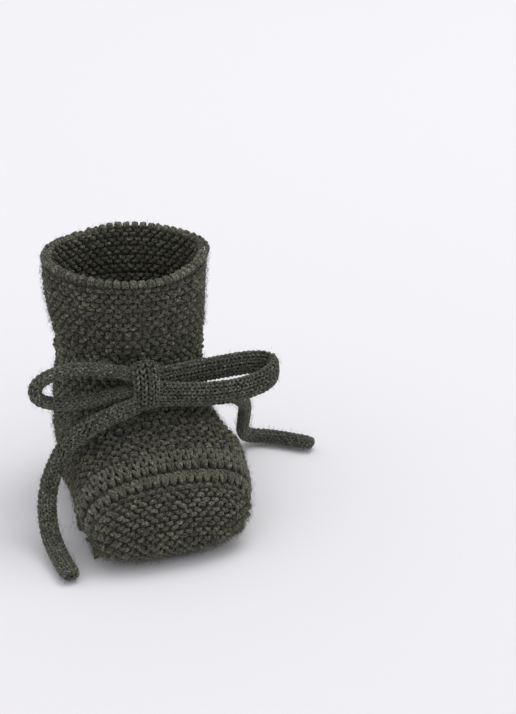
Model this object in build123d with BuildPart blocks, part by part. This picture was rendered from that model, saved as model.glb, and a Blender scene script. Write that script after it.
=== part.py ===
"""Hand-knitted baby bootie: garter-stitch foot and leg, two welts across the toe, and a knitted tie.

Millimetres. +Z up, toe towards -Y, heel towards +Y, origin on the floor under the middle of the
foot. The fabric is one thick knitted skin; it is divided here into the pieces that are knitted
and joined one after another. The tie is a knitted tube, drawn through two eyelets and bowed.
"""
import math
import os

from build123d import *

# ---------------------------------------------------------------- driving dimensions
FABRIC = 3.0                 # thickness of the garter-stitch fabric, and height of the sole

TOE_CENTRE = (0.0, -20.5)    # the foot's outline is the hull of a toe circle and a heel circle
TOE_RADIUS = 34.0
HEEL_CENTRE = (0.0, 26.0)
HEEL_RADIUS = 28.5
INSTEP_LOW = (-42.0, 29.0)   # y, z of the top of the foot above the toe
INSTEP_HIGH = (0.0, 42.5)    # y, z of the top of the foot where the ankle starts
CHAMFER = 11.0               # how far the top edges of the foot are rounded off

ANKLE_CENTRE_Y = 26.0        # the ankle and the foot of the leg are one ellipse
ANKLE_HALF_X, ANKLE_HALF_Y = 28.0, 25.5
ANKLE_LOW = 50.0             # top of the heel cup
LEG_LOW = 62.0               # foot of the leg tube
LEG_GAP = 0.3                # clearance between the gathered ankle and the leg
RIM_LOW, RIM_TOP = 91.4, 95.0
RIM_HALF_X, RIM_HALF_Y = 32.5, 27.5
RIM_CENTRE_Y = ANKLE_CENTRE_Y + ANKLE_HALF_Y - RIM_HALF_Y    # the back of the leg is upright

FRONT_GROOVE, REAR_GROOVE = -42.0, -26.5    # y of the groove in front of each toe welt
WELT_WIDTH = 3.4
INSTEP_HALF = 14.0           # half width of the instep strip between the side panels
HEEL_START = 20.0            # y where the side panels end and the heel cup begins

SEAM_PROUD = 0.8             # how far the overcast seams stand out from the fabric
SEAM_HALF = 1.0              # half width of a seam

EYELET_RADIUS = 2.6
EYELET_SPREAD = 3.2          # sideways distance of each eyelet from the knot's middle
EYELET_HEIGHT = 54.0
EYELET_REACH = 16.0          # length of the tool that opens each eyelet through the front wall

CORD_RADIUS = 3.3            # the knitted tube of the tie, relaxed and round
DRAWN_RADIUS = 2.4           # the same tube, pulled narrow inside the ankle
TIP_LENGTH = 3.0             # the gathered, cast-off end of each tail

KNOT = (-4.4, -11.0, 54.6)   # middle of the bow's knot
KNOT_WIDTH, KNOT_DEPTH, KNOT_HEIGHT = 10.0, 13.0, 21.0
KNOT_ROUND = 4.0             # rounding of the wrapping strand
WRAP_WALL = 3.0              # thickness of the wrapping strand
JOINT_GAP = 2.0              # clearance between the knot and each loop or tail

# Routes of the tie. The loops and tails start beside the knot.
LEFT_FACE = KNOT[0] - KNOT_WIDTH / 2 - JOINT_GAP
RIGHT_FACE = KNOT[0] + KNOT_WIDTH / 2 + JOINT_GAP
KNOT_BACK = KNOT[1] + KNOT_DEPTH / 2
ANKLE_RUN = [
    (KNOT[0] - EYELET_SPREAD, KNOT_BACK, 54.0), (KNOT[0] - EYELET_SPREAD, 12.0, 54.0),
    (-19.0, 20.0, 55.0), (-20.0, 33.0, 56.0), (-9.0, 43.0, 56.5), (9.0, 43.0, 56.5),
    (20.0, 33.0, 56.0), (17.0, 18.0, 55.0), (KNOT[0] + EYELET_SPREAD, 12.0, 54.0),
    (KNOT[0] + EYELET_SPREAD, KNOT_BACK, 54.0),
]
LEFT_LOOP = [
    (LEFT_FACE, -9.0, 59.6), (-23.0, -9.0, 64.0), (-36.0, -9.0, 64.6), (-46.0, -9.0, 61.0),
    (-46.0, -9.0, 54.0), (-36.0, -9.0, 50.8), (-23.0, -9.0, 50.4), (LEFT_FACE, -9.0, 51.8),
]
RIGHT_LOOP = [
    (RIGHT_FACE, -14.0, 50.5), (17.0, -14.0, 48.5), (34.0, -13.0, 47.6), (47.0, -10.0, 49.6),
    (51.5, -3.0, 51.6), (44.0, 2.5, 51.8), (24.0, 1.5, 51.6), (12.0, -2.5, 53.0),
    (RIGHT_FACE + 1.6, -8.6, 55.3),
]
LEFT_TAIL = [
    (LEFT_FACE, -15.6, 47.6), (-25.0, -17.0, 45.8), (-35.4, -11.4, 36.0), (-42.8, -13.6, 25.0),
    (-46.8, -19.6, 14.4), (-47.4, -31.0, 4.0), (-46.2, -50.0, 3.4),
]
RIGHT_TAIL = [
    (RIGHT_FACE, -7.6, 46.6), (14.0, -6.0, 45.0), (29.0, -4.0, 44.2), (43.0, 7.5, 33.4),
    (47.0, 22.0, 17.0), (51.0, 34.5, 4.0), (63.0, 31.0, 3.4), (74.5, 19.8, 3.4),
]

os.makedirs("parts", exist_ok=True)


# ---------------------------------------------------------------- helpers
def finish(part, name):
    """Label a finished piece and write it."""
    part.label = name
    export_step(part, f"parts/{name}.step")


def foot_outline(grow=0.0):
    """The foot's outline on the floor, grown or shrunk."""
    with BuildSketch() as outline:
        with Locations(TOE_CENTRE):
            Circle(TOE_RADIUS + grow)
        with Locations(HEEL_CENTRE):
            Circle(HEEL_RADIUS + grow)
        make_hull()
    return outline.sketch


def instep_plane(inset=0.0):
    """Plane of the top of the foot, its top side up."""
    run, rise = INSTEP_HIGH[0] - INSTEP_LOW[0], INSTEP_HIGH[1] - INSTEP_LOW[1]
    return Plane(origin=(0, *INSTEP_LOW), x_dir=(1, 0, 0), z_dir=(0, -rise, run)).offset(-inset)


def edge_planes(inset=0.0):
    """Planes that round off the top edges of the foot at the left, the right and the toe."""
    left = TOE_CENTRE[0] - TOE_RADIUS + CHAMFER
    right = TOE_CENTRE[0] + TOE_RADIUS - CHAMFER
    front = TOE_CENTRE[1] - TOE_RADIUS + CHAMFER
    top = INSTEP_LOW[1]
    slope = (INSTEP_HIGH[1] - INSTEP_LOW[1]) / (INSTEP_HIGH[0] - INSTEP_LOW[0])
    return [
        Plane(origin=(left, INSTEP_LOW[0], top), z_dir=(-1, -slope, 1)).offset(-inset),
        Plane(origin=(right, INSTEP_LOW[0], top), z_dir=(1, -slope, 1)).offset(-inset),
        Plane(origin=(0, front, top), z_dir=(0, -1, 1)).offset(-inset),
    ]


def foot_block(inset=0.0):
    """The whole volume of the foot, or with an inset the volume inside its skin."""
    with BuildPart() as block:
        with BuildSketch():
            add(foot_outline(-inset))
        extrude(amount=ANKLE_LOW)
        split(bisect_by=instep_plane(inset), keep=Keep.BOTTOM)
        for plane in edge_planes(inset):
            split(bisect_by=plane, keep=Keep.BOTTOM)
    return block.part


def ellipse_column(low, high, inset=0.0):
    """An upright column with the ankle's outline."""
    with BuildPart() as column:
        with BuildSketch(Plane((0, ANKLE_CENTRE_Y, low))):
            Ellipse(ANKLE_HALF_X - inset, ANKLE_HALF_Y - inset)
        extrude(amount=high - low)
    return column.part


def bend_radii(route):
    """Radius at each corner: 0.45 of its shorter run over the tangent of half the turn."""
    radii = []
    for before, here, after in zip(route, route[1:], route[2:]):
        run_in = Vector(*here) - Vector(*before)
        run_out = Vector(*after) - Vector(*here)
        half_turn = math.radians(run_in.get_angle(run_out)) / 2
        radii.append(0.45 * min(run_in.length, run_out.length) / math.tan(half_turn))
    return radii


def tube(name, route, radius):
    """A knitted tube swept along straight runs joined by tangent arcs."""
    radii = bend_radii(route)
    with BuildPart() as cord:
        with BuildLine() as path:
            FilletPolyline(*route, radius=radii)
        with BuildSketch(Plane(origin=route[0], z_dir=Vector(*route[1]) - Vector(*route[0]))):
            Circle(radius)
        sweep()
    length = path.wire().length
    ratio = cord.part.volume / (math.pi * radius ** 2 * length)
    print(f"{name}: length {length:.1f}, volume ratio {ratio:.3f}, radii",
          " ".join(f"{value:.1f}" for value in radii))
    finish(cord.part, name)


def tip(name, route):
    """The cast-off end of a tail: a short tube that narrows, past the end of the route."""
    outward = Vector(*route[-1]) - Vector(*route[-2])
    with BuildPart() as end:
        with BuildSketch(Plane(origin=route[-1], z_dir=outward)):
            Circle(CORD_RADIUS)
        extrude(amount=TIP_LENGTH, taper=15)
    finish(end.part, name)


# ---------------------------------------------------------------- sole and upper
with BuildPart() as sole:
    with BuildSketch():
        add(foot_outline())
    extrude(amount=FABRIC)
finish(sole.part, "sole")

foot_outside = foot_block()
foot_inside = foot_block(FABRIC)
ankle_inside = ellipse_column(FABRIC, RIM_TOP, FABRIC)

with BuildPart() as upper:
    add(foot_outside)
    split(bisect_by=Plane.XY.offset(FABRIC), keep=Keep.TOP)
    add(foot_inside, mode=Mode.SUBTRACT)
    add(ankle_inside, mode=Mode.SUBTRACT)

# Crosswise strips of the upper, from the toe to the heel
front_welt_back = FRONT_GROOVE + WELT_WIDTH
rear_welt_back = REAR_GROOVE + WELT_WIDTH
STRIPS = [
    ("toe_cap", None, FRONT_GROOVE),
    ("front_toe_welt", FRONT_GROOVE, front_welt_back),
    ("toe_band", front_welt_back, REAR_GROOVE),
    ("rear_toe_welt", REAR_GROOVE, rear_welt_back),
    ("heel_cup", HEEL_START, None),
]
crosswise = Plane(origin=(0, 0, 0), x_dir=(1, 0, 0), z_dir=(0, 1, 0))
for strip_name, start, stop in STRIPS:
    with BuildPart() as strip:
        add(upper.part)
        if start is not None:
            split(bisect_by=crosswise.offset(start), keep=Keep.TOP)
        if stop is not None:
            split(bisect_by=crosswise.offset(stop), keep=Keep.BOTTOM)
    finish(strip.part, strip_name)

with BuildPart() as middle:
    add(upper.part)
    split(bisect_by=crosswise.offset(rear_welt_back), keep=Keep.TOP)
    split(bisect_by=crosswise.offset(HEEL_START), keep=Keep.BOTTOM)

with BuildPart() as instep_panel:
    add(middle.part)
    split(bisect_by=Plane.YZ.offset(-INSTEP_HALF), keep=Keep.TOP)
    split(bisect_by=Plane.YZ.offset(INSTEP_HALF), keep=Keep.BOTTOM)
finish(instep_panel.part, "instep_panel")

with BuildPart() as left_side_panel:
    add(middle.part)
    split(bisect_by=Plane.YZ.offset(-INSTEP_HALF), keep=Keep.BOTTOM)
finish(left_side_panel.part, "left_side_panel")

with BuildPart() as right_side_panel:
    add(middle.part)
    split(bisect_by=Plane.YZ.offset(INSTEP_HALF), keep=Keep.TOP)
finish(right_side_panel.part, "right_side_panel")

# ---------------------------------------------------------------- ankle and leg
with BuildPart() as ankle_gather:
    add(ellipse_column(INSTEP_LOW[1], LEG_LOW))
    add(ankle_inside, mode=Mode.SUBTRACT)
    add(foot_outside, mode=Mode.SUBTRACT)
    split(bisect_by=instep_plane(), keep=Keep.TOP)
    for side in (-1, 1):
        front = (KNOT[0] + side * EYELET_SPREAD, 0, EYELET_HEIGHT)
        with Locations(Plane(origin=front, z_dir=(0, -1, 0))):
            Cylinder(EYELET_RADIUS, EYELET_REACH, mode=Mode.SUBTRACT)
finish(ankle_gather.part, "ankle_gather")


def leg_cone(inset=0.0):
    """The leg's volume, widening from the ankle to the rim, or the volume inside its skin."""
    with BuildPart() as cone:
        with BuildSketch(Plane((0, ANKLE_CENTRE_Y, LEG_LOW + LEG_GAP))):
            Ellipse(ANKLE_HALF_X - inset, ANKLE_HALF_Y - inset)
        with BuildSketch(Plane((0, RIM_CENTRE_Y, RIM_LOW))):
            Ellipse(RIM_HALF_X - inset, RIM_HALF_Y - inset)
        loft(ruled=True)
    return cone.part


leg_outside = leg_cone()
with BuildPart() as leg_tube:
    add(leg_outside)
    add(leg_cone(FABRIC), mode=Mode.SUBTRACT)
finish(leg_tube.part, "leg_tube")

with BuildPart() as cuff_rim:
    with BuildSketch(Plane((0, RIM_CENTRE_Y, RIM_LOW))):
        Ellipse(RIM_HALF_X + SEAM_PROUD, RIM_HALF_Y + SEAM_PROUD)
        Ellipse(RIM_HALF_X - FABRIC, RIM_HALF_Y - FABRIC, mode=Mode.SUBTRACT)
    extrude(amount=RIM_TOP - RIM_LOW)
finish(cuff_rim.part, "cuff_rim")

# ---------------------------------------------------------------- overcast seams
with BuildPart() as sole_seam:
    with BuildSketch(Plane.XY.offset(FABRIC - SEAM_HALF)):
        add(foot_outline(SEAM_PROUD))
        add(foot_outline(), mode=Mode.SUBTRACT)
    extrude(amount=2 * SEAM_HALF)
finish(sole_seam.part, "sole_seam")

BACK_SEAMS = [
    ("heel_seam", HEEL_CENTRE[1] + HEEL_RADIUS, FABRIC + 2 * SEAM_HALF, ANKLE_LOW, foot_outside),
    ("leg_back_seam", ANKLE_CENTRE_Y + ANKLE_HALF_Y, LEG_LOW + LEG_GAP, RIM_LOW, leg_outside),
]
for seam_name, back, low, high, fabric in BACK_SEAMS:
    with BuildPart() as seam:
        with BuildSketch(Plane((0, back, low))):
            Rectangle(2 * SEAM_HALF, 2 * SEAM_PROUD)
        extrude(amount=high - low)
        add(fabric, mode=Mode.SUBTRACT)
    finish(seam.part, seam_name)

# ---------------------------------------------------------------- the tie
wrap_outline = Plane(origin=KNOT, x_dir=(0, 1, 0), z_dir=(1, 0, 0)).offset(-KNOT_WIDTH / 2)

with BuildPart() as bow_wrap:
    with BuildSketch(wrap_outline):
        RectangleRounded(KNOT_DEPTH, KNOT_HEIGHT, KNOT_ROUND)
        inner_round = KNOT_ROUND - WRAP_WALL / 2
        RectangleRounded(KNOT_DEPTH - 2 * WRAP_WALL, KNOT_HEIGHT - 2 * WRAP_WALL, inner_round,
                         mode=Mode.SUBTRACT)
    extrude(amount=KNOT_WIDTH)
finish(bow_wrap.part, "bow_wrap")

with BuildPart() as bow_core:
    with BuildSketch(wrap_outline):
        RectangleRounded(KNOT_DEPTH - 2 * WRAP_WALL, KNOT_HEIGHT - 2 * WRAP_WALL, inner_round)
    extrude(amount=KNOT_WIDTH)
finish(bow_core.part, "bow_core")

tube("tie_ankle_run", ANKLE_RUN, DRAWN_RADIUS)
tube("tie_left_loop", LEFT_LOOP, CORD_RADIUS)
tube("tie_right_loop", RIGHT_LOOP, CORD_RADIUS)
tube("tie_left_tail", LEFT_TAIL, CORD_RADIUS)
tube("tie_right_tail", RIGHT_TAIL, CORD_RADIUS)
tip("left_tail_tip", LEFT_TAIL)
tip("right_tail_tip", RIGHT_TAIL)
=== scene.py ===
"""A knitted baby bootie, stitch by stitch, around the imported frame.

Every visible stitch is a short length of yarn laid on the bootie's surface. The foot and leg are
garter stitch. The band across the toe, its welts and the tie are stockinette, and the rim is a
bound-off edge of paired strands. A thin layer of painted shade under the stitches closes the gaps.
Lengths are millimetres, and MM turns them into Blender's metres.
"""
import math

import bpy
import numpy as np
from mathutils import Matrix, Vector


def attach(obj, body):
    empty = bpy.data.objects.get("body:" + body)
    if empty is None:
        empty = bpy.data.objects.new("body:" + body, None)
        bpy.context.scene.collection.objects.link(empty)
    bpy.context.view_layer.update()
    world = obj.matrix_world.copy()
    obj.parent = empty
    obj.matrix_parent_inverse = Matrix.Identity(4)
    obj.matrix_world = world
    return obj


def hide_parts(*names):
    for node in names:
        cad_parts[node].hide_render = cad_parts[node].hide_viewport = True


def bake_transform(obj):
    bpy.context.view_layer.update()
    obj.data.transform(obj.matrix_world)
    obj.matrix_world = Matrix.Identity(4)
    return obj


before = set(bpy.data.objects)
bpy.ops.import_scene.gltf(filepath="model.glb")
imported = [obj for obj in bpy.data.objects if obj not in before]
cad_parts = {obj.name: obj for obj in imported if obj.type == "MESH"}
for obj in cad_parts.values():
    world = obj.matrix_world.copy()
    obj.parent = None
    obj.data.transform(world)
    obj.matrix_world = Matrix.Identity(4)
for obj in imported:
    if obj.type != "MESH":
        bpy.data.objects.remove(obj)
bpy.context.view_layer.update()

MM = 0.001
SEED = 7

# ---------------------------------------------------------------- yarn and gauge
STITCH_WIDE = 3.7            # one garter stitch across
ROW_HIGH = 1.85              # one row; a garter ridge is two rows
YARN = 0.76                  # radius of the yarn in the body
BAND_WIDE, BAND_ROW = 3.3, 2.7    # stitch and row of the toe band and its welts
BAND_LEG = 3.7               # height of a stitch there, which reaches into the next row
CORD_COLUMNS = 8             # stitches round the knitted tube of the tie
CORD_ROW = 1.85              # one row of the tie
CORD_YARN = 0.47             # radius of the yarn in the tie
FABRIC = 3.0                 # thickness of the knitted fabric
FIBRE = 0.045                # radius of a stray fibre
YARN_SIDES = 6               # corners round one length of yarn
LOWEST = 0.9                 # lowest height of the surface that the stitches lie on
FLOOR_GAP = 0.03             # lowest height of any point of the yarn
CORE_PAINTED_SHADE = 0.2             # painted shade: darkening of a plain tube inside the stitches

# ---------------------------------------------------------------- the shape
# Crosswise sections from the toe tip, round the heel, to the rim, in the CAD model's frame:
# sole y, sole z, top y, top z, half width, squareness below, squareness above, sideways offset
SECTIONS = np.array([
    (-54.2, 9.6, -53.8, 11.4, 17.0, 2.2, 2.2, -7.0),
    (-51.5, 4.6, -50.5, 20.0, 25.5, 2.3, 2.3, -7.0),
    (-46.0, 2.6, -45.0, 26.0, 29.5, 2.1, 2.4, -6.0),
    (-38.0, 0.5, -37.0, 30.0, 32.2, 2.3, 2.5, -4.4),
    (-26.0, 0.0, -25.0, 33.5, 33.9, 3.0, 2.5, -2.2),
    (-10.0, 0.0, -12.0, 37.0, 34.0, 3.4, 2.4, -0.3),
    (6.0, 0.0, -5.6, 40.0, 32.8, 3.4, 2.2, 0.0),
    (22.0, 0.0, -2.6, 42.4, 32.0, 3.6, 2.2, 0.0),
    (36.0, 0.3, -0.8, 44.5, 31.0, 3.0, 2.1, 0.0),
    (43.5, 3.0, -0.2, 45.6, 30.4, 2.6, 2.1, 0.0),
    (48.5, 9.0, 0.2, 46.6, 29.8, 2.4, 2.1, 0.0),
    (51.3, 17.0, 0.4, 47.6, 29.5, 2.3, 2.1, 0.0),
    (52.0, 28.0, 0.4, 48.9, 29.3, 2.2, 2.1, 0.0),
    (51.2, 44.0, 0.3, 51.0, 29.2, 2.1, 2.1, 0.0),
    (50.0, 60.0, 0.0, 54.0, 28.0, 2.1, 2.1, 0.0),
    (50.3, 70.0, -0.9, 66.0, 29.6, 2.1, 2.1, 0.0),
    (51.0, 83.0, -2.2, 80.0, 31.4, 2.0, 2.0, 0.0),
    (51.5, 94.0, -3.0, 93.0, 32.2, 1.85, 1.85, 0.0),
])
# Stations, counted in sections, where one piece or feature gives way to the next
UNDER_TOE, FRONT_GROOVE, REAR_GROOVE, GUSSET = 1.6, 2.38, 3.9, 8.0
GATHER_LOW, WAIST, GATHER_HIGH, RIM = 13.4, 14.0, 14.7, 17.0
FRONT_WELT_END, BAND_DIP, REAR_WELT_START = 2.8, 3.12, 3.42
GROOVE_HALF = 0.07           # half the bare line along a groove, where the dark layer under the stitches shows as painted shade, in sections
ALONG, ROUND = 60, 240       # grid samples per section, and round each section
FINE = 721                   # samples round a section before they are spaced evenly
PLEATS = 15                  # folds round the gathered ankle
SIDEWAYS = 0.002             # share of a section over which its direction is measured


def glide(values, at):
    """Monotone cubic through values at 0, 1, 2 ..., read at the given places."""
    step = np.diff(values)
    slope = np.zeros(len(values))
    slope[0], slope[-1] = step[0], step[-1]
    same = step[:-1] * step[1:] > 0
    slope[1:-1][same] = 2 * step[:-1][same] * step[1:][same] / (step[:-1] + step[1:])[same]
    low = np.clip(at.astype(int), 0, len(values) - 2)
    f = at - low
    return (values[low] * (1 + 2 * f) * (1 - f) ** 2 + slope[low] * f * (1 - f) ** 2
            + values[low + 1] * f * f * (3 - 2 * f) + slope[low + 1] * f * f * (f - 1))


def unit(v):
    """Vectors of length 1."""
    return v / np.maximum(np.linalg.norm(v, axis=-1, keepdims=True), 1e-9)


def walk(points):
    """Lengths walked along points, row by row."""
    steps = np.linalg.norm(np.diff(points, axis=0), axis=-1)
    return np.concatenate([np.zeros((1,) + steps.shape[1:]), np.cumsum(steps, axis=0)])


def at_lengths(where, walked, values):
    """Vectors read at lengths along a line."""
    return np.stack([np.interp(where, walked, values[:, i]) for i in range(3)], axis=-1)


def build_grid():
    """Points of the whole outer surface: one row per station, evenly spaced round each."""
    at = np.linspace(0, len(SECTIONS) - 1, ALONG * (len(SECTIONS) - 1) + 1)
    sole_y, sole_z, top_y, top_z, half, below, above, aside = [
        glide(SECTIONS[:, i], at) for i in range(8)]
    angle = np.linspace(-math.pi / 2, 1.5 * math.pi, FINE)
    cosine, sine = np.cos(angle), np.sin(angle)
    grid = np.zeros((len(at), ROUND, 3))
    for i in range(len(at)):
        power = 2 / np.where(sine < 0, below[i], above[i])
        across = np.sign(cosine) * np.abs(cosine) ** power
        upward = np.sign(sine) * np.abs(sine) ** power
        middle = np.array([aside[i], (sole_y[i] + top_y[i]) / 2, (sole_z[i] + top_z[i]) / 2])
        rise = np.array([0, top_y[i] - sole_y[i], top_z[i] - sole_z[i]]) / 2
        ring = middle + np.outer(across * half[i], [1, 0, 0]) + np.outer(upward, rise)
        along = walk(ring)
        even = np.linspace(0, along[-1], ROUND, endpoint=False)
        grid[i] = at_lengths(even, along, ring)
    return at, grid


def inward_normals(grid):
    """Directions square to the surface, into the bootie."""
    along = np.gradient(grid, axis=0)
    around = np.roll(grid, -1, 1) - np.roll(grid, 1, 1)
    return unit(np.cross(around, along))


def soften(at, grid):
    """Shape the plain surface: waves under the toe, pleats that stand out at the ankle, a wavy rim.

    sink is how far each point moves into the bootie.
    """
    inward = inward_normals(grid)
    turn = np.linspace(0, 2 * math.pi, ROUND, endpoint=False)[None, :]
    t = at[:, None]
    facing_down = np.clip(1.1 * inward[..., 2] + 0.4, 0, 1)
    fold = np.cos(PLEATS * turn + 0.6)

    def bump(centre, width):
        return np.exp(-((t - centre) / width) ** 2)

    sink = 2.2 * bump(2.62, 0.16) - 2.2 * bump(FRONT_GROOVE, 0.09) - 2.0 * bump(BAND_DIP, 0.1)
    sink = sink + 2.6 * bump(3.66, 0.17) - 3.0 * bump(REAR_GROOVE + 0.03, 0.1)
    sink = sink * facing_down
    sink = sink - (1.1 + 0.7 * fold) * bump(WAIST, 0.28)
    sink = sink + 0.5 * fold * bump(WAIST - 0.8, 0.5)
    sink = sink + 0.45 * np.sin(3 * turn + 1.3 * t) * np.clip(t - 4, 0, 1)
    sink = sink + 0.35 * np.sin(5 * turn - 2.1 * t + 1.0) * np.clip(t - 1, 0, 1)
    sink = np.where(inward[..., 2] < -0.8, 0, sink)
    shaped = grid + inward * sink[..., None]
    wave = 1.3 + 1.9 * np.cos(turn) - 0.6 * np.cos(2 * turn) + 0.3 * np.sin(3 * turn + 0.7)
    shaped[..., 2] += wave * np.clip((t - 15) / 2, 0, 1)
    shaped[..., 2] = np.maximum(shaped[..., 2], LOWEST)
    return shaped


STATIONS, PLAIN = build_grid()
SKIN = soften(STATIONS, PLAIN)
OUTWARD = -inward_normals(PLAIN)


def read(grid, t, u):
    """The grid's values at stations t and places u, from 0 to 1, round the section."""
    row = np.clip(np.asarray(t) * ALONG, 0, len(STATIONS) - 1.001)
    col = (np.asarray(u) % 1.0) * ROUND
    r0, c0 = row.astype(int), col.astype(int) % ROUND
    fr, fc = (row - r0)[..., None], (col - col.astype(int))[..., None]
    c1 = (c0 + 1) % ROUND
    return ((grid[r0, c0] * (1 - fc) + grid[r0, c1] * fc) * (1 - fr)
            + (grid[r0 + 1, c0] * (1 - fc) + grid[r0 + 1, c1] * fc) * fr)


class Places:
    """Where stitches go: points and the directions across, along and outward at each."""

    def __init__(self, **values):
        self.__dict__.update(values)

    def pick(self, keep):
        """The places where keep is true."""
        return Places(**{name: value[keep] for name, value in self.__dict__.items()})


def skin_places(t, u, row):
    """Places on the bootie's skin at stations t and shares u round the section."""
    out = unit(read(OUTWARD, t, u))
    across = unit(read(SKIN, t, u + SIDEWAYS) - read(SKIN, t, u - SIDEWAYS))
    along = unit(np.cross(across, out))
    return Places(t=t, row=row, point=read(SKIN, t, u), out=out, along=along,
                  across=unit(np.cross(out, along)))


def rows_between(start, stop, row_high=ROW_HIGH, wide=STITCH_WIDE):
    """Stitch places in rows a row's height apart, counted from start to stop."""
    count = max(int(abs(stop - start) * ALONG), 2)
    t = np.linspace(start, stop, count + 1)
    u = np.arange(ROUND) / ROUND
    full_u = np.append(u, 1.0)
    tt, uu = np.meshgrid(t, u, indexing="ij")
    length = walk(read(SKIN, tt, uu))
    all_t, all_u, all_row = [], [], []
    for number in range(int(length[-1].max() / row_high)):
        reach = (number + 0.5) * row_high
        line = np.array([np.interp(reach, length[:, j], t) for j in range(ROUND)])
        inside = length[-1] >= reach
        full_line = np.append(line, line[0])
        walked = walk(read(SKIN, full_line, full_u))
        stitches = max(int(round(walked[-1] / wide)), 6)
        where = (np.arange(stitches) + 0.5 * (number % 2)) / stitches * walked[-1]
        place_u = np.interp(where, walked, full_u)
        place_t = np.interp(place_u, full_u, full_line)
        kept = inside[(place_u * ROUND).astype(int) % ROUND]
        all_t.append(place_t[kept])
        all_u.append(place_u[kept])
        all_row.append(np.full(kept.sum(), number))
    return skin_places(np.concatenate(all_t), np.concatenate(all_u), np.concatenate(all_row))


# Profile of the toe cap, seen from the side: degrees above the level of its hinge, and the
# distance from the hinge. The first angle's distance is the groove's own and isn't listed.
HINGE_HIGH = 6.0
FAN_ANGLES = (90, 83, 60, 36.5, 19, 2.6, -14, -38.7, -79)
FAN_REACH = (20.0, 15.8, 12.6, 11.3, 10.0, 8.2, 6.0, 4.8)
FLOOR_MIDDLE, FLOOR_HALF = -6.8, 28.6      # middle and half width of the cap at the floor


def toe_fan():
    """The toe cap as a fan of arches, from the front groove down and under to the sole's edge."""
    ring = read(SKIN, np.full(FINE, FRONT_GROOVE), np.linspace(0, 1, FINE))
    hinge_y = ring[:, 1].mean()
    upper = ring[ring[:, 2] > HINGE_HIGH + 0.05]
    middle = (upper[:, 0].max() + upper[:, 0].min()) / 2
    upper = upper[np.argsort(-np.arctan2(upper[:, 0] - middle, upper[:, 2] + 3))]
    walked = walk(upper)
    share = np.linspace(0, 1, ROUND)
    groove_x = np.interp(share * walked[-1], walked, upper[:, 0])
    groove_r = np.interp(share * walked[-1], walked, upper[:, 2] - HINGE_HIGH)
    swing = np.pi * share
    angle = np.radians(FAN_ANGLES)
    reach = np.array([groove_r.max(), *FAN_REACH])
    steps = np.linspace(0, 1, 161)
    phi = np.interp(steps, np.linspace(0, 1, len(angle)), angle)
    radius = np.interp(-phi, -angle, reach)
    radius = np.convolve(np.pad(radius, 6, "edge"), np.ones(13) / 13, "valid")
    tuck = (1 - 0.36 * np.clip((0.25 - phi) / 1.2, 0, 1) ** 1.3)[:, None]
    width = np.sign(np.cos(swing)) * np.abs(np.cos(swing)) ** 0.85
    floor_x = FLOOR_MIDDLE + FLOOR_HALF * tuck * width
    floor_r = np.sin(swing) ** 0.85
    mix = np.sin(np.clip((math.pi / 2 - phi) / 1.35, 0, 1) * math.pi / 2)[:, None]
    x = (1 - mix) * groove_x + mix * floor_x
    r = radius[:, None] * ((1 - mix) * groove_r / groove_r.max() + mix * floor_r)
    y = hinge_y - r * np.cos(phi)[:, None]
    z = HINGE_HIGH + r * np.sin(phi)[:, None]
    fan = np.stack([x, y, np.maximum(z, LOWEST)], axis=2)
    along, around = np.gradient(fan, axis=0), np.gradient(fan, axis=1)
    return fan, unit(np.cross(around, along))


TOE, TOE_OUT = toe_fan()


def toe_places():
    """Garter rows over the toe cap, each one row's height further from the groove."""
    length = walk(TOE)
    edge = 0.4
    point, out, across, row = [], [], [], []
    for number in range(int(length[-1].max() / ROW_HIGH)):
        reach = (number + 0.5) * ROW_HIGH
        inside = length[-1] >= reach
        rows = np.array([np.interp(reach, length[:, j], np.arange(len(TOE))) for j in range(ROUND)])
        low = np.clip(rows.astype(int), 0, len(TOE) - 2)
        f, cols = (rows - low)[:, None], np.arange(ROUND)
        line = TOE[low, cols] * (1 - f) + TOE[low + 1, cols] * f
        face = unit(TOE_OUT[low, cols] * (1 - f) + TOE_OUT[low + 1, cols] * f)
        walked = walk(line)
        middle = walked[ROUND // 2]
        first = -int(middle / STITCH_WIDE)
        last = int((walked[-1] - middle) / STITCH_WIDE)
        where = middle + (np.arange(first, last + 1) + 0.5 * (number % 2)) * STITCH_WIDE
        where = where[(where > edge) & (where < walked[-1] - edge)]
        kept = inside[np.round(np.interp(where, walked, cols)).astype(int)]
        where = where[kept]
        point.append(at_lengths(where, walked, line))
        ahead = at_lengths(where + 0.5, walked, line)
        behind = at_lengths(where - 0.5, walked, line)
        across.append(unit(ahead - behind))
        out.append(unit(at_lengths(where, walked, face)))
        row.append(np.full(len(where), number))
    out = np.concatenate(out)
    along = unit(np.cross(np.concatenate(across), out))
    return Places(row=np.concatenate(row), point=np.concatenate(point), out=out, along=along,
                  across=unit(np.cross(out, along)))


# ---------------------------------------------------------------- yarn into mesh
chance = np.random.default_rng(SEED)


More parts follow.
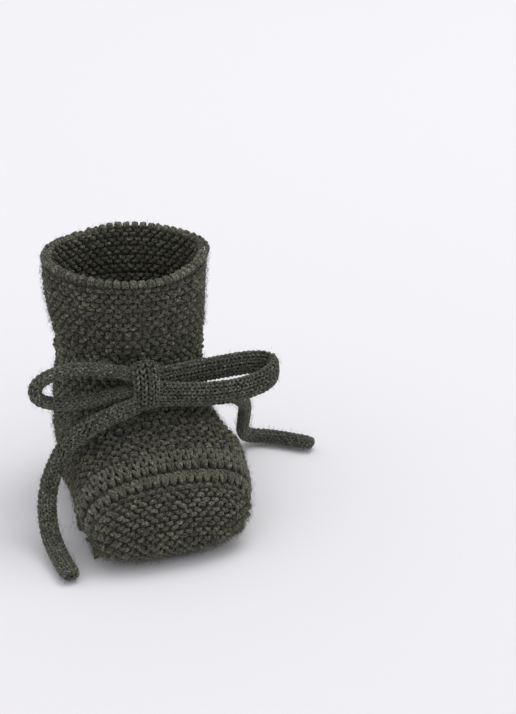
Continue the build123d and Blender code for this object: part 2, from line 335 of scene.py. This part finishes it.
class Yarn:
    """Gathers lengths of yarn and makes one mesh of them."""

    def __init__(self):
        self.points, self.faces, self.shades, self.count = [], [], [], 0

    # shade scales a tube's colour; the default of 0.5 darkens the layers and plain tubes under the
    # stitches as painted shade
    def add_grid(self, block, closed=True, caps=False, shade=0.5):
        """Add n tubes given as an array (n, rings, sides, 3). Caps need YARN_SIDES sides."""
        n, rings, sides, _ = block.shape
        index = np.arange(n * rings * sides).reshape(n, rings, sides) + self.count
        nxt = np.roll(index, -1, axis=2) if closed else index[:, :, 1:]
        cur = index if closed else index[:, :, :-1]
        quads = np.stack([cur[:, :-1], nxt[:, :-1], nxt[:, 1:], cur[:, 1:]], axis=-1)
        self.faces.append(quads.reshape(-1, 4))
        if caps:
            for end, corners in ((0, (3, 2, 1, 0)), (0, (0, 5, 4, 3)),
                                 (-1, (0, 1, 2, 3)), (-1, (3, 4, 5, 0))):
                self.faces.append(index[:, end][:, corners])
        self.points.append(block.reshape(-1, 3))
        self.shades.append(np.repeat(np.broadcast_to(shade, (n,)), rings * sides))
        self.count += n * rings * sides

    def lay(self, places, shape, radius, jitter=0.1):
        """Lay one length of yarn at each place. shape is (n or 1, m, 3): across, along, out."""
        n = len(places.point)
        if n == 0:
            return
        shape = np.broadcast_to(shape, (n,) + shape.shape[1:]).copy()
        shape *= 1 + jitter * chance.normal(size=(n, 1, 3))
        shape[..., 1] += shape[..., 0] * jitter * 2.2 * chance.normal(size=(n, 1))
        shape += 0.5 * jitter * chance.normal(size=(n, 1, 3))
        line = (places.point[:, None] + shape[..., :1] * places.across[:, None]
                + shape[..., 1:2] * places.along[:, None] + shape[..., 2:] * places.out[:, None])
        forward = unit(np.gradient(line, axis=1))
        side = unit(np.cross(forward, places.out[:, None] + 0 * line))
        lift = np.cross(side, forward)
        m = line.shape[1]
        swell = np.ones(m)
        swell[0] = swell[-1] = 0.45
        size = radius * (1 + 0.6 * jitter * chance.normal(size=(n, 1))) * swell
        angle = 2 * math.pi * (np.arange(YARN_SIDES) + 0.5) / YARN_SIDES
        cosine, sine = np.cos(angle)[:, None], np.sin(angle)[:, None]
        ring = cosine * side[:, :, None] + sine * lift[:, :, None]
        self.add_grid(line[:, :, None] + size[..., None, None] * ring, caps=True,
                      shade=np.clip(chance.normal(1.0, 0.2, n), 0.5, 1.6))

    def mesh(self, name):
        """The finished object, in metres."""
        points = np.concatenate(self.points)
        points[:, 2] = np.maximum(points[:, 2], FLOOR_GAP)
        faces = np.concatenate(self.faces).astype(np.int32)
        mesh = bpy.data.meshes.new(name)
        mesh.vertices.add(len(points))
        mesh.vertices.foreach_set("co", (points * MM).astype(np.float32).ravel())
        mesh.loops.add(faces.size)
        mesh.loops.foreach_set("vertex_index", faces.ravel())
        mesh.polygons.add(len(faces))
        mesh.polygons.foreach_set("loop_start", np.arange(0, faces.size, 4, dtype=np.int32))
        mesh.polygons.foreach_set("use_smooth", np.ones(len(faces), dtype=bool))
        mesh.update(calc_edges=True)
        # shade: a random tone for each stitch and fibre, and painted shade on the layers and tubes
        # under the stitches
        shade = mesh.attributes.new("shade", "FLOAT", "POINT")
        shade.data.foreach_set("value", np.concatenate(self.shades).astype(np.float32))
        piece = bpy.data.objects.new(name, mesh)
        bpy.context.scene.collection.objects.link(piece)
        return piece


def arc(wide, high, out, points=6):
    """A purl bump: across, arched along the fabric and standing out of it, its ends tucked in."""
    q = np.linspace(-1, 1, points)
    crown = 1 - q * q
    return np.stack([q * wide / 2, high * (crown - 0.5), -1.6 + out * crown], axis=1)[None]


def leg(wide, high, lean, out, points=5):
    """One leg of a knit stitch: runs along the fabric and leans to one side."""
    q = np.linspace(-1, 1, points)
    across = lean * wide * (0.21 - 0.16 * q)
    return np.stack([across, -q * high * 0.6, -0.85 + out * (1 - q * q)], axis=1)[None]


def garter(yarn, places, relief=1.0, cover=0.64, inward=False):
    """Lay garter stitch: rows of bumps that arch up and down by turns."""
    if inward:
        places.out = -places.out
    up = places.row % 2 == 0
    for chosen, sign in ((up, 1), (~up, -1)):
        bumps = arc(STITCH_WIDE * cover, sign * ROW_HIGH * 0.30, 1.4 * relief)
        yarn.lay(places.pick(chosen), bumps, YARN)


def stocking(yarn, places, wide, high, radius, relief=0.6):
    """Lay stockinette: two leaning legs for each stitch."""
    for lean in (-1, 1):
        yarn.lay(places, leg(wide, high, lean, relief), radius, jitter=0.06)


def painted_shade_layer(yarn, start, stop):
    """A thin closed layer under the stitches between two stations, darkened as painted shade."""
    depth, thick = 1.4, 0.4
    rings = max(int(abs(stop - start) * 10), 3)
    tt, uu = np.meshgrid(np.linspace(start, stop, rings), np.linspace(0, 1, 121), indexing="ij")
    point, out = read(SKIN, tt, uu), unit(read(OUTWARD, tt, uu))
    outer, inner = point - depth * out, point - (depth + thick) * out
    yarn.add_grid(np.concatenate([outer, inner[::-1], outer[:1]])[None], closed=False)


# ---------------------------------------------------------------- materials
MIX_A, MIX_B, MIX_RESULT = 6, 7, 2      # the colour sockets of a Mix node


def noise_node(tree, scale, detail):
    """A noise texture; scale is in waves per metre."""
    noise = tree.nodes.new("ShaderNodeTexNoise")
    noise.inputs["Scale"].default_value = scale
    noise.inputs["Detail"].default_value = detail
    return noise


def multiply_node(tree):
    """A node that multiplies two colours."""
    mixed = tree.nodes.new("ShaderNodeMix")
    mixed.data_type = "RGBA"
    mixed.blend_type = "MULTIPLY"
    mixed.inputs["Factor"].default_value = 1.0
    return mixed


def wool(name, dark, cool, mid, fleck, pale):
    """Heathered wool: fibres of several shades along the yarn, a soft sheen and a fibrous bump."""
    material = bpy.data.materials.new(name)
    material.use_nodes = True
    tree = material.node_tree
    shader = tree.nodes["Principled BSDF"]
    shader.inputs["Roughness"].default_value = 0.92
    shader.inputs["Specular IOR Level"].default_value = 0.18
    shader.inputs["Sheen Weight"].default_value = 0.22
    shader.inputs["Sheen Roughness"].default_value = 0.45
    place = tree.nodes.new("ShaderNodeTexCoord")
    heather = noise_node(tree, 1500.0, 3.0)
    heather.inputs["Roughness"].default_value = 0.75
    ramp = tree.nodes.new("ShaderNodeValToRGB")
    shades = ramp.color_ramp
    shades.elements[0].position = 0.30
    shades.elements[0].color = (*dark, 1)
    shades.elements[1].position = 0.70
    shades.elements[1].color = (*pale, 1)
    for position, colour in ((0.40, cool), (0.48, mid), (0.58, fleck)):
        shades.elements.new(position).color = (*colour, 1)
    broad = noise_node(tree, 160.0, 2.0)
    shade = tree.nodes.new("ShaderNodeMapRange")
    shade.inputs["To Min"].default_value = 0.72
    shade.inputs["To Max"].default_value = 1.28
    mixed = multiply_node(tree)
    fibre = noise_node(tree, 3200.0, 2.0)
    bump = tree.nodes.new("ShaderNodeBump")
    bump.inputs["Strength"].default_value = 0.7
    bump.inputs["Distance"].default_value = 0.0004
    # the mesh's shade attribute: random tone per stitch and fibre, with painted shade on the layers
    # and tubes under the stitches
    stitch = tree.nodes.new("ShaderNodeAttribute")
    stitch.attribute_name = "shade"
    toned = multiply_node(tree)
    link = tree.links.new
    for noise in (heather, broad, fibre):
        link(place.outputs["Object"], noise.inputs["Vector"])
    link(heather.outputs["Fac"], ramp.inputs["Fac"])
    link(broad.outputs["Fac"], shade.inputs["Value"])
    link(ramp.outputs["Color"], mixed.inputs[MIX_A])
    link(shade.outputs["Result"], mixed.inputs[MIX_B])
    link(mixed.outputs[MIX_RESULT], toned.inputs[MIX_A])
    link(stitch.outputs["Fac"], toned.inputs[MIX_B])
    link(toned.outputs[MIX_RESULT], shader.inputs["Base Color"])
    link(fibre.outputs["Fac"], bump.inputs["Height"])
    link(bump.outputs["Normal"], shader.inputs["Normal"])
    return material


BODY_WOOL = wool("body_wool", (0.014, 0.017, 0.015), (0.034, 0.046, 0.046), (0.070, 0.068, 0.047),
                 (0.136, 0.130, 0.074), (0.400, 0.392, 0.320))
TIE_WOOL = wool("tie_wool", (0.014, 0.017, 0.016), (0.034, 0.046, 0.047), (0.064, 0.066, 0.050),
                (0.126, 0.124, 0.080), (0.400, 0.398, 0.345))


def dress(piece, body, slot, *nodes, material=BODY_WOOL):
    """Give a piece its wool and its body, and hide the CAD nodes that it stands for. Its slot is
    not used.
    """
    piece.data.materials.clear()
    piece.data.materials.append(material)
    if body:
        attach(piece, body)
    if nodes:
        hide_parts(*nodes)
    return piece


# ---------------------------------------------------------------- camera, light and floor
CAMERA_AT = Vector((-0.1845, -0.6103, 0.3340))
CAMERA_AIM = Vector((0.0425, -0.0070, 0.0575))
FOCAL_MM, SENSOR_MM = 127.1, 36.0
LIGHT_AIM = Vector((0, 0, 0.04))
WORLD_TINT, WORLD_STRENGTH = (0.96, 0.96, 1.0, 1), 0.90
KEY_AT, KEY_SIZE, KEY_WATTS = (0.8, 0.5, 2.2), 1.5, 17.0
FLOOR_SPAN = 8.0             # metres from the middle to each edge of the floor
FLOOR_TINT = (0.80, 0.79, 0.80, 1)


def set_camera():
    """The photo's view."""
    data = bpy.data.cameras.new("camera")
    data.sensor_fit = "HORIZONTAL"
    data.sensor_width = SENSOR_MM
    data.lens = FOCAL_MM
    camera = bpy.data.objects.new("camera", data)
    camera.location = CAMERA_AT
    camera.rotation_euler = (CAMERA_AIM - CAMERA_AT).to_track_quat("-Z", "Y").to_euler()
    bpy.context.scene.collection.objects.link(camera)
    bpy.context.scene.camera = camera


def soft_light(name, at, size, power):
    """A round area light that looks at the bootie."""
    data = bpy.data.lights.new(name, "AREA")
    data.shape = "DISK"
    data.size = size
    data.energy = power
    light = bpy.data.objects.new(name, data)
    light.location = at
    light.rotation_euler = (LIGHT_AIM - Vector(at)).to_track_quat("-Z", "Y").to_euler()
    bpy.context.scene.collection.objects.link(light)


def set_studio():
    """A pale floor under an even sky, and one soft light above, behind on the right."""
    scene = bpy.context.scene
    scene.view_settings.view_transform = "Standard"
    world = bpy.data.worlds.new("studio")
    world.use_nodes = True
    world.node_tree.nodes["Background"].inputs["Color"].default_value = WORLD_TINT
    world.node_tree.nodes["Background"].inputs["Strength"].default_value = WORLD_STRENGTH
    scene.world = world
    soft_light("key", KEY_AT, KEY_SIZE, KEY_WATTS)
    half = FLOOR_SPAN
    mesh = bpy.data.meshes.new("floor")
    mesh.from_pydata([(-half, -half, 0), (half, -half, 0), (half, half, 0), (-half, half, 0)], [],
                     [(0, 1, 2, 3)])
    floor = bpy.data.objects.new("floor", mesh)
    scene.collection.objects.link(floor)
    paper = bpy.data.materials.new("pale_floor")
    paper.use_nodes = True
    shader = paper.node_tree.nodes["Principled BSDF"]
    shader.inputs["Base Color"].default_value = FLOOR_TINT
    shader.inputs["Roughness"].default_value = 0.9
    mesh.materials.append(paper)


# ---------------------------------------------------------------- the tie
# For each loop and tail: its CAD node, its tip's node, which way the flat cord's width lies at its
# start and end, half its width and thickness, and its route. The routes follow the CAD model's,
# and the ends at the knot run on under the wrap.
KNOT = np.array([-4.4, -11.0, 54.6])
LEFT_FACE, RIGHT_FACE = -11.4, 2.6
TIES = {
    "left_loop": dict(
        node="tie_left_loop", wide=((0, 1, -0.35), (0, 1, -0.35)), half=(4.0, 2.5),
        route=[(LEFT_FACE + 3, -9.0, 58.8), (-23.0, -9.0, 64.0), (-36.0, -9.0, 64.6),
               (-46.0, -9.0, 61.0), (-46.0, -9.0, 54.0), (-36.0, -9.0, 50.8),
               (-23.0, -9.0, 50.4), (LEFT_FACE + 3, -9.0, 52.4)]),
    "right_loop": dict(
        node="tie_right_loop", wide=((0, 0.1, 1), (0, 0.1, 1)), half=(4.7, 2.2),
        route=[(RIGHT_FACE - 3, -13.0, 51.5), (17.0, -14.0, 48.5), (34.0, -13.0, 47.6),
               (47.0, -10.0, 49.6), (51.5, -3.0, 51.6), (44.0, 2.5, 51.8), (24.0, 1.5, 51.6),
               (12.0, -2.5, 53.0), (RIGHT_FACE - 2, -8.0, 54.8)]),
    "left_tail": dict(
        node="tie_left_tail", tip="left_tail_tip", wide=((0.3, 0, 1), (1, 0, 0)), half=(3.6, 2.6),
        route=[(LEFT_FACE + 3, -13.6, 48.2), (-25.0, -17.0, 45.8), (-35.4, -11.4, 36.0),
               (-42.8, -13.6, 25.0), (-46.8, -19.6, 14.4), (-47.4, -31.0, 4.0),
               (-46.2, -50.0, 3.4)]),
    "right_tail": dict(
        node="tie_right_tail", tip="right_tail_tip", wide=((0, 0.3, 1), (0.5, 1, 0)),
        half=(3.6, 2.6),
        route=[(RIGHT_FACE - 3, -8.0, 47.4), (14.0, -6.0, 45.0), (29.0, -4.0, 44.2),
               (43.0, 7.5, 33.4), (47.0, 22.0, 17.0), (51.0, 34.5, 4.0), (63.0, 31.0, 3.4),
               (74.5, 19.8, 3.4)]),
}
ANKLE_RUN = [(-7.6, -4.5, 54.0), (-7.6, 12.0, 54.0), (-19.0, 20.0, 55.0), (-20.0, 33.0, 56.0),
             (-9.0, 43.0, 56.5), (9.0, 43.0, 56.5), (20.0, 33.0, 56.0), (17.0, 18.0, 55.0),
             (-1.2, 12.0, 54.0), (-1.2, -4.5, 54.0)]
TIP = 3.0                    # length of a tail's gathered tip
TUBE_SIDES = 16              # corners round the plain tube inside the stitches
TUBE_RING = 1.2              # spacing of its rings, and the reach over which a line's turn is read


def full_size(s):
    """The scale of a cord that doesn't taper."""
    return np.ones_like(s)


def smooth_line(points, name, cyclic=False):
    """The points of a NURBS line through a route's control points, in millimetres."""
    curve = bpy.data.curves.new(name, "CURVE")
    curve.dimensions = "3D"
    spline = curve.splines.new("NURBS")
    spline.points.add(len(points) - 1)
    for target, point in zip(spline.points, points):
        target.co = (*(Vector(point) * MM), 1)
    spline.order_u = 3
    spline.use_cyclic_u = cyclic
    spline.use_endpoint_u = not cyclic
    spline.resolution_u = 24
    holder = bpy.data.objects.new(name, curve)
    line = bpy.data.meshes.new_from_object(holder)
    found = np.array([v.co[:] for v in line.vertices]) / MM
    bpy.data.objects.remove(holder)
    bpy.data.curves.remove(curve)
    bpy.data.meshes.remove(line)
    return found


class Strand:
    """A flattened knitted tube along a smooth line."""

    def __init__(self, line, wide, half):
        self.line, self.walked = line, walk(line)
        self.length, self.half = self.walked[-1], half
        self.wide = np.array(wide, float)
        fine = np.linspace(0, 2 * math.pi, 361)
        run = walk(np.stack([half[0] * np.cos(fine), half[1] * np.sin(fine)], axis=1))
        self.column_wide = run[-1] / CORD_COLUMNS
        share = (np.arange(CORD_COLUMNS) + 0.5) / CORD_COLUMNS
        self.columns = np.interp(share * run[-1], run, fine)

    def frame_at(self, s):
        """Point, forward, width and thickness directions at lengths s."""
        ahead = at_lengths(s + TUBE_RING, self.walked, self.line)
        behind = at_lengths(s - TUBE_RING, self.walked, self.line)
        forward = unit(ahead - behind)
        share = (s / self.length)[..., None]
        wide = self.wide[0] * (1 - share) + self.wide[1] * share
        wide = unit(wide - (wide * forward).sum(-1, keepdims=True) * forward)
        return at_lengths(s, self.walked, self.line), forward, wide, np.cross(forward, wide)

    def spots(self, first, last, scale=full_size, sink=0.0):
        """Stitch places round the tube from one length to another, sink below its surface."""
        rows = max(int(round((last - first) / CORD_ROW)), 1)
        s = first + (np.arange(rows) + 0.5) * (last - first) / rows
        ss, aa = np.meshgrid(s, self.columns, indexing="ij")
        ss, aa = ss.ravel(), aa.ravel()
        point, forward, wide, thin = self.frame_at(ss)
        size = scale(ss)[:, None]
        a, b = self.half[0] - sink, self.half[1] - sink
        cosine, sine = np.cos(aa)[:, None], np.sin(aa)[:, None]
        out = unit(b * cosine * wide + a * sine * thin)
        return Places(point=point + size * (a * cosine * wide + b * sine * thin), out=out,
                      along=-forward, across=unit(np.cross(out, -forward)))

    def tube(self, first, last, shrink, scale=full_size):
        """The plain tube inside the stitches, as an array for Yarn.add_grid."""
        s = np.linspace(first, last, max(int((last - first) / TUBE_RING), 4))
        point, _, wide, thin = self.frame_at(s)
        angle = np.linspace(0, 2 * math.pi, TUBE_SIDES, endpoint=False)[None, :, None]
        a, b = self.half[0] - shrink, self.half[1] - shrink
        outline = a * np.cos(angle) * wide[:, None] + b * np.sin(angle) * thin[:, None]
        return (point[:, None] + scale(s)[:, None, None] * outline)[None]


def close_ends(block):
    """Draw both ends of a tube in, so that it is nearly closed."""
    first = block[:, :1].mean(axis=2, keepdims=True) + 0 * block[:, :1]
    last = block[:, -1:].mean(axis=2, keepdims=True) + 0 * block[:, -1:]
    near, far = first * 0.7 + block[:, :1] * 0.3, last * 0.7 + block[:, -1:] * 0.3
    return np.concatenate([near, block, far], axis=1)


def stitch_tube(yarn, strand, first, last, scale=full_size, radius=CORD_YARN):
    """Lay columns of stockinette round a tube."""
    spots = strand.spots(first, last, scale=scale, sink=0.1)
    stocking(yarn, spots, strand.column_wide, CORD_ROW, radius)


def make_tie(name, spec):
    """One loop or tail: a cord with its stitches, and a gathered tip on a tail."""
    line = smooth_line(spec["route"], name + "_line")
    strand = Strand(line, spec["wide"], spec["half"])
    core = Yarn()
    # the plain tube inside the stitches, darkened as painted shade
    core.add_grid(close_ends(strand.tube(0, strand.length, 0.9)), shade=CORE_PAINTED_SHADE)
    cord = dress(core.mesh("tie_" + name + "_core"), name, "knitted_tie", spec["node"],
                 material=TIE_WOOL)
    knit = Yarn()
    stitch_tube(knit, strand, 0, strand.length)
    stitches = dress(knit.mesh("tie_" + name + "_stitches"), name, "knitted_tie", material=TIE_WOOL)
    spots = strand.spots(0, strand.length)
    fibres = fuzz("tie_" + name + "_fibres", name, "knitted_tie", 900, spots.point, spots.out,
                  material=TIE_WOOL)
    if "tip" in spec:
        tip = Yarn()
        forward = strand.frame_at(np.array([strand.length]))[1]
        end = np.concatenate([line, line[-1:] + forward * np.array([[1.0], [2.0], [3.0]])])
        longer = Strand(end, spec["wide"], spec["half"])

        def narrow(s):
            return 1 - 0.5 * np.clip((s - strand.length) / TIP, 0, 1) ** 1.5

        stitch_tube(tip, longer, strand.length, strand.length + TIP - 0.6, scale=narrow)
        # a plain tube under the tip's stitches, darkened by add_grid's default shade as painted
        # shade
        cap = longer.tube(strand.length - 0.5, strand.length + TIP - 0.4, 0.5, scale=narrow)
        tip.add_grid(close_ends(cap))
        tip_piece = dress(tip.mesh(name + "_gathered_tip"), name, "knitted_tie", spec["tip"],
                          material=TIE_WOOL)


def make_knot():
    """The strand wrapped round the bow, the pinched core in it, and the run inside the ankle."""
    depth, height = 4.4, 8.2
    ring = [KNOT + (0.5 * math.cos(a), depth * math.cos(a), height * math.sin(a))
            for a in np.linspace(0, 2 * math.pi, 10, endpoint=False)]
    line = smooth_line(ring, "wrap_line", cyclic=True)
    line = np.concatenate([line, line[:1]])
    strand = Strand(line, ((1, 0, 0), (1, 0, 0)), (5.1, 2.2))
    wrap = Yarn()
    # the plain tube inside the stitches, darkened as painted shade
    wrap.add_grid(strand.tube(0, strand.length, 1.0), shade=CORE_PAINTED_SHADE)
    stitch_tube(wrap, strand, 0, strand.length)
    dress(wrap.mesh("bow_wrap_knit"), "foot", "knitted_tie", "bow_wrap", material=TIE_WOOL)

    core = Yarn()
    inside = Strand(np.array([KNOT + (x, 0, 0) for x in np.linspace(-4.6, 4.6, 8)]),
                    ((0, 0, 1), (0, 0, 1)), (6.8, 3.2))
    # the plain tube of the pinched core, darkened by add_grid's default shade as painted shade
    # under its stitches
    core.add_grid(close_ends(inside.tube(0, inside.length, 0.5)))
    stitch_tube(core, inside, 0, inside.length)
    dress(core.mesh("bow_core_knit"), "foot", "knitted_tie", "bow_core", material=TIE_WOOL)

    run = Yarn()
    drawn = Strand(smooth_line(ANKLE_RUN, "run_line"), ((0, 0, 1), (0, 0, 1)), (1.7, 2.0))
    # the plain tube of the run, darkened by add_grid's default shade as painted shade under its
    # stitches
    run.add_grid(close_ends(drawn.tube(0, drawn.length, 0.5)))
    stitch_tube(run, drawn, 0, drawn.length, radius=0.4)
    dress(run.mesh("tie_ankle_run_knit"), "foot", "knitted_tie", "tie_ankle_run", material=TIE_WOOL)


# ---------------------------------------------------------------- the knitted foot and leg
SOLE_NORMAL = -0.55          # stitches that look down more than this belong to the sole
FLAT_NORMAL = -0.85          # the same, for the rows under the toe
INSTEP_HALF = 14.0           # half the width of the panel on top of the foot
INSTEP_LOW = 20.0            # and the height above which it lies


def garter_piece(name, body, node, sets, span=None, lining=False, **style):
    """One knitted panel: its stitches, the layer of painted shade under them and, if asked,
    stitches inside.
    """
    yarn = Yarn()
    for places in sets:
        garter(yarn, places, **style)
    if span:
        painted_shade_layer(yarn, *span)
    if lining:
        inner = rows_between(*span)
        inner.point = inner.point - FABRIC * inner.out
        garter(yarn, inner, inward=True)
    return dress(yarn.mesh(name), body, "garter_knit", node)


def make_foot():
    """The panels and welts of the foot. What looks down in each goes to the sole."""
    instep = rows_between(REAR_GROOVE + 0.05, GUSSET)
    heel = rows_between(GATHER_LOW, GUSSET)
    band_size = dict(row_high=BAND_ROW, wide=BAND_WIDE)
    front_welt = rows_between(FRONT_WELT_END, FRONT_GROOVE, **band_size)
    rear_welt = rows_between(REAR_GROOVE, REAR_WELT_START, **band_size)
    band = rows_between(REAR_WELT_START, FRONT_WELT_END, **band_size)
    under_toe = rows_between(FRONT_GROOVE, UNDER_TOE)
    sole_sets = [under_toe.pick(under_toe.out[:, 2] < FLAT_NORMAL)]

    # Stitches are left out along each groove, so the dark layer under them shows there as painted
    # shade.
    def off_groove(places):
        bare = np.zeros(len(places.t), bool)
        for groove in (FRONT_GROOVE, BAND_DIP, REAR_GROOVE + 0.03):
            bare |= np.abs(places.t - groove) < GROOVE_HALF
        return places.pick(~bare)

    def upper_of(places):
        down = places.out[:, 2] < SOLE_NORMAL
        sole_sets.append(places.pick(down))
        return places.pick(~down)

    toe = Yarn()
    garter(toe, toe_places())
    # a closed layer under the toe cap's stitches, darkened by add_grid's default shade as painted
    # shade
    outer, inner = TOE - 1.5 * TOE_OUT, TOE - 2.5 * TOE_OUT
    toe.add_grid(np.concatenate([outer, inner[::-1], outer[:1]])[None], closed=False)
    dress(toe.mesh("toe_cap_knit"), "foot", "garter_knit", "toe_cap")
    for name, places, span in (
            ("front_toe_welt", front_welt, (FRONT_GROOVE, FRONT_WELT_END)),
            ("rear_toe_welt", rear_welt, (REAR_WELT_START, REAR_GROOVE)),
            ("toe_band", band, (FRONT_WELT_END, REAR_WELT_START))):
        yarn = Yarn()
        stocking(yarn, upper_of(off_groove(places)), BAND_WIDE, BAND_LEG, YARN, relief=0.8)
        painted_shade_layer(yarn, *span)
        slot = "garter_knit" if name == "toe_band" else "knit_edges_and_seams"
        dress(yarn.mesh(name + "_knit"), "foot", slot, name)

    instep = upper_of(off_groove(instep))
    top = (np.abs(instep.point[:, 0]) < INSTEP_HALF) & (instep.point[:, 2] > INSTEP_LOW)
    garter_piece("instep_knit", "foot", "instep_panel", [instep.pick(top)], (REAR_GROOVE, GUSSET),
                 relief=0.9, cover=0.80)
    garter_piece("left_side_knit", "foot", "left_side_panel",
                 [instep.pick(~top & (instep.point[:, 0] < 0))])
    garter_piece("right_side_knit", "foot", "right_side_panel",
                 [instep.pick(~top & (instep.point[:, 0] >= 0))])
    garter_piece("heel_cup_knit", "foot", "heel_cup", [upper_of(heel)], (GUSSET, GATHER_LOW))
    garter_piece("sole_knit", "foot", "sole", sole_sets, (UNDER_TOE, FRONT_GROOVE), relief=0.7)


def make_leg():
    """The gathered ankle between foot and leg, then the leg and its rim."""
    gather = garter_piece("ankle_gather_knit", None, "ankle_gather",
                          [rows_between(GATHER_LOW, GATHER_HIGH)], (GATHER_LOW, GATHER_HIGH),
                          lining=True)
    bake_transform(gather)
    garter_piece("leg_tube_knit", "leg", "leg_tube", [rows_between(GATHER_HIGH, RIM - 0.2)],
                 (GATHER_HIGH, RIM), lining=True)

    rim = Yarn()
    stitches, wide, high = 56, 3.5, 1.3
    edge = skin_places(np.full(stitches, RIM - 0.02), np.arange(stitches) / stitches,
                       np.zeros(stitches, int))
    q = np.linspace(-1, 1, 9)
    over = math.pi * (q + 1) / 2
    rise = high * (np.sin(over) - np.abs(q) ** 3)
    depth = high * (np.cos(over) - 1)
    for side in (-0.22, 0.22):
        across = side * (wide + 2.2 * (1 - q * q))
        strand = np.stack([across, 0.6 * rise, depth + 0.3], axis=1)
        rim.lay(edge, strand[None], 0.88, jitter=0.07)
    dress(rim.mesh("cuff_rim_knit"), "leg", "knit_edges_and_seams", "cuff_rim")


SEAM_YARN = 0.62             # radius of the yarn in the seams
SEAM_HIGH = 2.4              # the sole's seam runs where the sides reach this height
SEAM_START, SEAM_END = 2.2, 9.2


def overcast(yarn, points, outs, spacing=2.4):
    """Slanting stitches over a seam that follows points."""
    walked = walk(points)
    s = np.arange(spacing / 2, walked[-1], spacing)
    point = at_lengths(s, walked, points)
    out = unit(at_lengths(s, walked, outs))
    along = unit(at_lengths(s + 0.5, walked, points) - point)
    q = np.linspace(-1, 1, 6)
    stitch = np.stack([q * 1.5, q * 1.1, -0.5 + 0.9 * (1 - q * q)], axis=1)[None]
    yarn.lay(Places(point=point, out=out, along=along, across=unit(np.cross(out, along))), stitch,
             SEAM_YARN)


def make_seams():
    """The seams up the back of heel and leg, and the one round the sole."""
    for name, body, start, stop in (("heel_seam", "foot", 9.6, GATHER_LOW),
                                    ("leg_back_seam", "leg", GATHER_HIGH, RIM - 0.25)):
        t = np.linspace(start, stop, 60)
        yarn = Yarn()
        overcast(yarn, read(SKIN, t, 0 * t), read(OUTWARD, t, 0 * t))
        dress(yarn.mesh(name + "_knit"), body, "knit_edges_and_seams", name)
    t = np.linspace(SEAM_START, SEAM_END, 160)
    edges = []
    for low in (0.0, 1.0):
        u = np.linspace(low, 0.5, 200)
        heights = read(SKIN, *np.meshgrid(t, u, indexing="ij"))[..., 2]
        edges.append(np.array([u[np.argmax(row > SEAM_HIGH)] for row in heights]))
    t = np.concatenate([t, t[::-1], t[:1]])
    u = np.concatenate([edges[0], edges[1][::-1], edges[0][:1]])
    yarn = Yarn()
    overcast(yarn, read(SKIN, t, u), read(OUTWARD, t, u), spacing=2.8)
    dress(yarn.mesh("sole_seam_knit"), "foot", "knit_edges_and_seams", "sole_seam")


def fuzz(name, body, slot, count, point, out, material=BODY_WOOL):
    """Stray fibres standing off the wool, count of them, over the given surface points."""
    yarn = Yarn()
    pick = chance.integers(0, len(point), count)
    root, away = point[pick], out[pick]
    drift = unit(chance.normal(size=(count, 3)))
    drift = drift - 0.5 * (drift * away).sum(1, keepdims=True) * away
    length = chance.uniform(1.0, 3.0, (count, 1, 1))
    q = np.linspace(0, 1, 3)[None, :, None]
    line = (root + 0.5 * away + 0.3 * chance.normal(size=(count, 3)))[:, None] + length * (
        q * 0.22 * away[:, None] + q * drift[:, None] + 0.35 * q * q * drift[:, None, ::-1])
    corner = 2 * math.pi * np.arange(3) / 3
    ring = np.stack([np.cos(corner), np.sin(corner), 0.6 * np.cos(corner + 1)], axis=1)
    thin = FIBRE * np.array([1.0, 0.8, 0.3])[None, :, None, None]
    yarn.add_grid(line[:, :, None] + thin * ring[None, None],
                  shade=np.clip(chance.normal(1.5, 0.5, count), 0.5, 2.8))
    return dress(yarn.mesh(name), body, slot, material=material)


def skin_fibres():
    """Stray fibres on foot, leg, toe cap and rim."""
    roots = 14000
    for name, body, start, stop, count in (("foot_fibres", "foot", 2.4, 13.3, 12500),
                                           ("leg_fibres", "leg", 14.7, 17.0, 7000)):
        t, u = chance.uniform(start, stop, roots), chance.uniform(0, 1, roots)
        point, out = read(SKIN, t, u), unit(read(OUTWARD, t, u))
        upper = out[:, 2] > SOLE_NORMAL
        fuzz(name, body, "garter_knit", count, point[upper], out[upper])
    fuzz("toe_fibres", "foot", "garter_knit", 4200, TOE.reshape(-1, 3), TOE_OUT.reshape(-1, 3))
    spots = 400
    ring = read(SKIN, np.full(spots, RIM), np.arange(spots) / spots)
    mid_rim = ring - (FABRIC / 2, 0, 0) * np.sign(ring[:, :1])
    fuzz("rim_fibres", "leg", "knit_edges_and_seams", 700, mid_rim,
         np.tile([0.0, 0.0, 1.0], (spots, 1)))


set_camera()
skin_fibres()
for tie_name, tie_spec in TIES.items():
    make_tie(tie_name, tie_spec)
make_knot()
make_foot()
make_leg()
make_seams()
set_studio()
